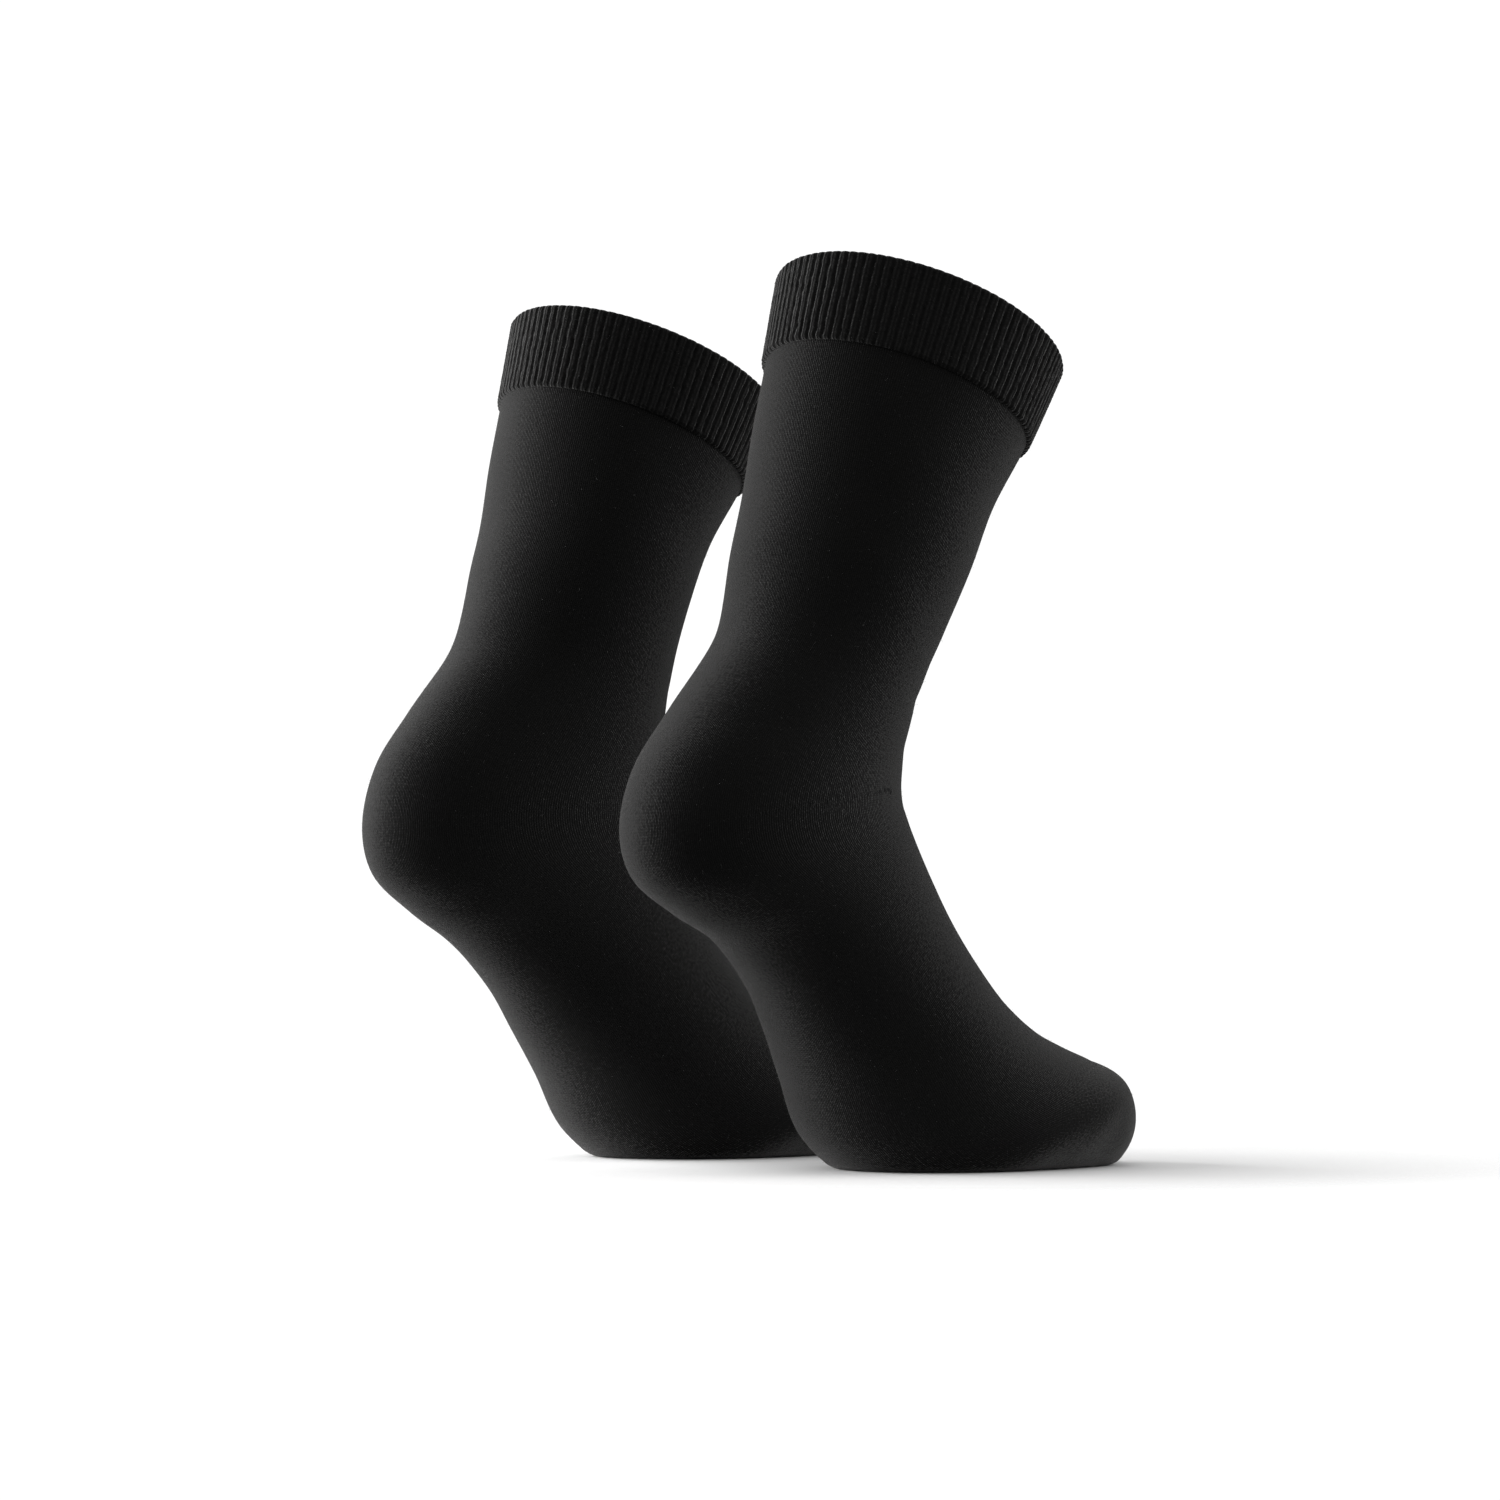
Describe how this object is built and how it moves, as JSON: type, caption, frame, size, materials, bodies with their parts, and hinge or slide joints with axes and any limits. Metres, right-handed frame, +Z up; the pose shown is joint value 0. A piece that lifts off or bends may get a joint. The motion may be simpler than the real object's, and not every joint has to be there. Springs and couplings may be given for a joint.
{
  "type": "pair of socks",
  "caption": "Pair of plain black crew socks in fine jersey with ribbed cuffs, filled out hollow as if worn on tiptoe and open at the top.",
  "frame": {"origin": "on the floor, midway between the balls of the two feet, where the wearer stands", "axes": "+Z up along the height, toes towards -Y, +X towards the wearer's left"},
  "size_m": [0.2498, 0.2165, 0.3061],
  "materials": {
    "jersey": "fine plain-knit black cotton jersey, matt with a soft pale nap at grazing angles",
    "rib_knit": "black one-by-one rib knit in a folded double welt, matt with a soft pale nap"
  },
  "bodies": {
    "root": {"right_cuff": "rib_knit", "right_leg": "jersey", "right_heel": "jersey", "right_foot": "jersey", "right_toe": "jersey", "left_cuff": "rib_knit", "left_leg": "jersey", "left_heel": "jersey", "left_foot": "jersey", "left_toe": "jersey"}
  },
  "joints": []
}
